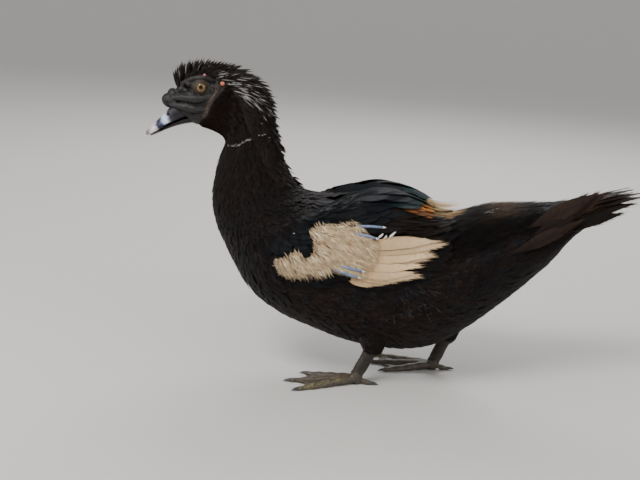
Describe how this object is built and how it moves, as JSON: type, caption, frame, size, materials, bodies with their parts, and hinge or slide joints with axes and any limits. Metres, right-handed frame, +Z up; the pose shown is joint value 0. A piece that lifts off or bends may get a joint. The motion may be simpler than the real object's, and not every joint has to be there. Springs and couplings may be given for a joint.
{
  "type": "domestic Muscovy duck",
  "caption": "Standing black domestic Muscovy duck with raised crest, bare knobbed face, pale wing patches, clipped flight feathers and webbed feet, life size and still.",
  "frame": {"origin": "middle of the whole bird's box in plan, on the floor under the feet", "axes": "+X towards the tail, the bill points to -X; the bird's left side is towards -Y; +Z up"},
  "size_m": [0.6062, 0.1932, 0.3891],
  "materials": {
    "black_feather": "soft black plumage with a faint sheen",
    "gloss_feather": "black feathers with a dark blue and green gloss",
    "white_feather": "cream-white feathers, stained tan",
    "face_skin": "bare, folded, dark skin, a little shiny",
    "bill_horn": "dark horn with a pale band, satin",
    "eye": "wet, golden iris and black pupil",
    "leg_skin": "dark grey scaly skin with yellowish parts",
    "claw": "dark horn, satin"
  },
  "bodies": {
    "root": {"head": "face_skin", "crest": "black_feather", "bill_upper": "bill_horn", "bill_lower": "bill_horn", "eye_left": "eye", "eye_right": "eye", "neck": "black_feather", "breast": "black_feather", "torso": "black_feather", "rump": "black_feather", "tail": "black_feather", "wing_left": "gloss_feather", "wing_right": "gloss_feather", "wing_patch_left": "white_feather", "wing_patch_right": "white_feather", "shank_left": "black_feather", "tarsus_left": "leg_skin", "foot_left": "leg_skin", "claw_left_inner": "claw", "claw_left_middle": "claw", "claw_left_outer": "claw", "claw_left_hind": "claw", "shank_right": "black_feather", "tarsus_right": "leg_skin", "foot_right": "leg_skin", "claw_right_inner": "claw", "claw_right_middle": "claw", "claw_right_outer": "claw", "claw_right_hind": "claw"}
  },
  "joints": []
}
